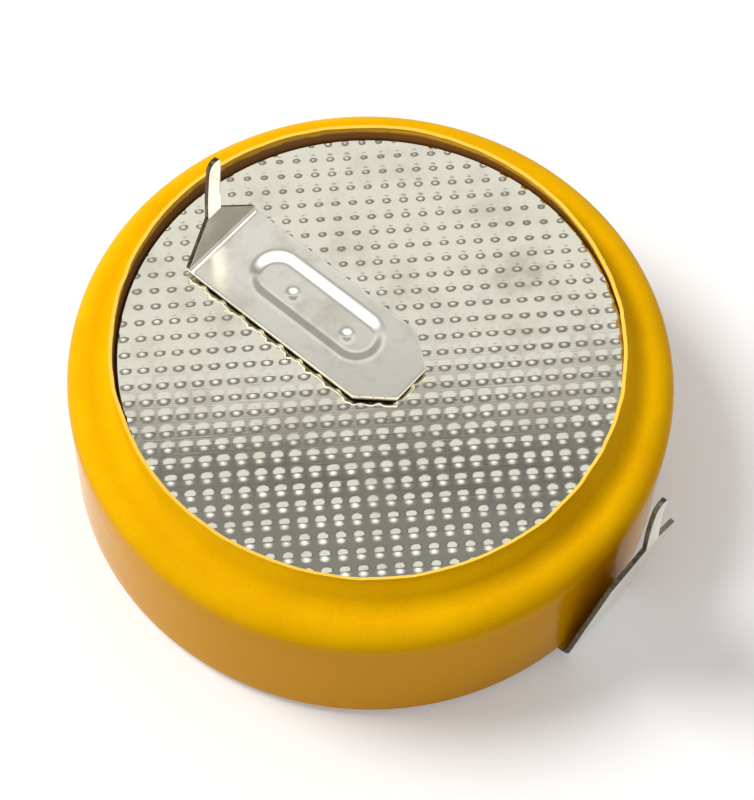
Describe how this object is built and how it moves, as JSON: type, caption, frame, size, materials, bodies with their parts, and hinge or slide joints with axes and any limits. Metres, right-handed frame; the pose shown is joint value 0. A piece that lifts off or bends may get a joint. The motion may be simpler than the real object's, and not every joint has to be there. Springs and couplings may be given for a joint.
{
  "type": "lithium coin cell",
  "caption": "Round lithium coin cell in a yellow shrunk sleeve, with a dimpled negative cap and two upright solder tabs.",
  "frame": {"origin": "on the cell's axis, at the underside of the positive tab, which is the lowest plane", "axes": "+Z along the cell's axis from the can's base to the negative cap; +X from the axis to the positive pin; the negative pin is on -X"},
  "size_m": [0.0265, 0.0248, 0.0135],
  "materials": {
    "sleeve_film": "shrunk film, satin",
    "can_steel": "rolled sheet, satin",
    "cap_steel": "rolled sheet with pressed dimples",
    "tab_steel": "plated strip, bright satin",
    "seal_plastic": "moulded, natural",
    "lithium": "dull, rolled",
    "separator_fleece": "fine non-woven",
    "cathode_mix": "pressed powder"
  },
  "bodies": {
    "root": {"shrink_sleeve": "sleeve_film", "cathode_can": "can_steel", "anode_cap": "cap_steel", "gasket": "seal_plastic", "lithium_anode": "lithium", "separator": "separator_fleece", "cathode_pellet": "cathode_mix", "collector_ring": "can_steel", "negative_tab": "tab_steel", "positive_tab": "tab_steel"}
  },
  "joints": []
}
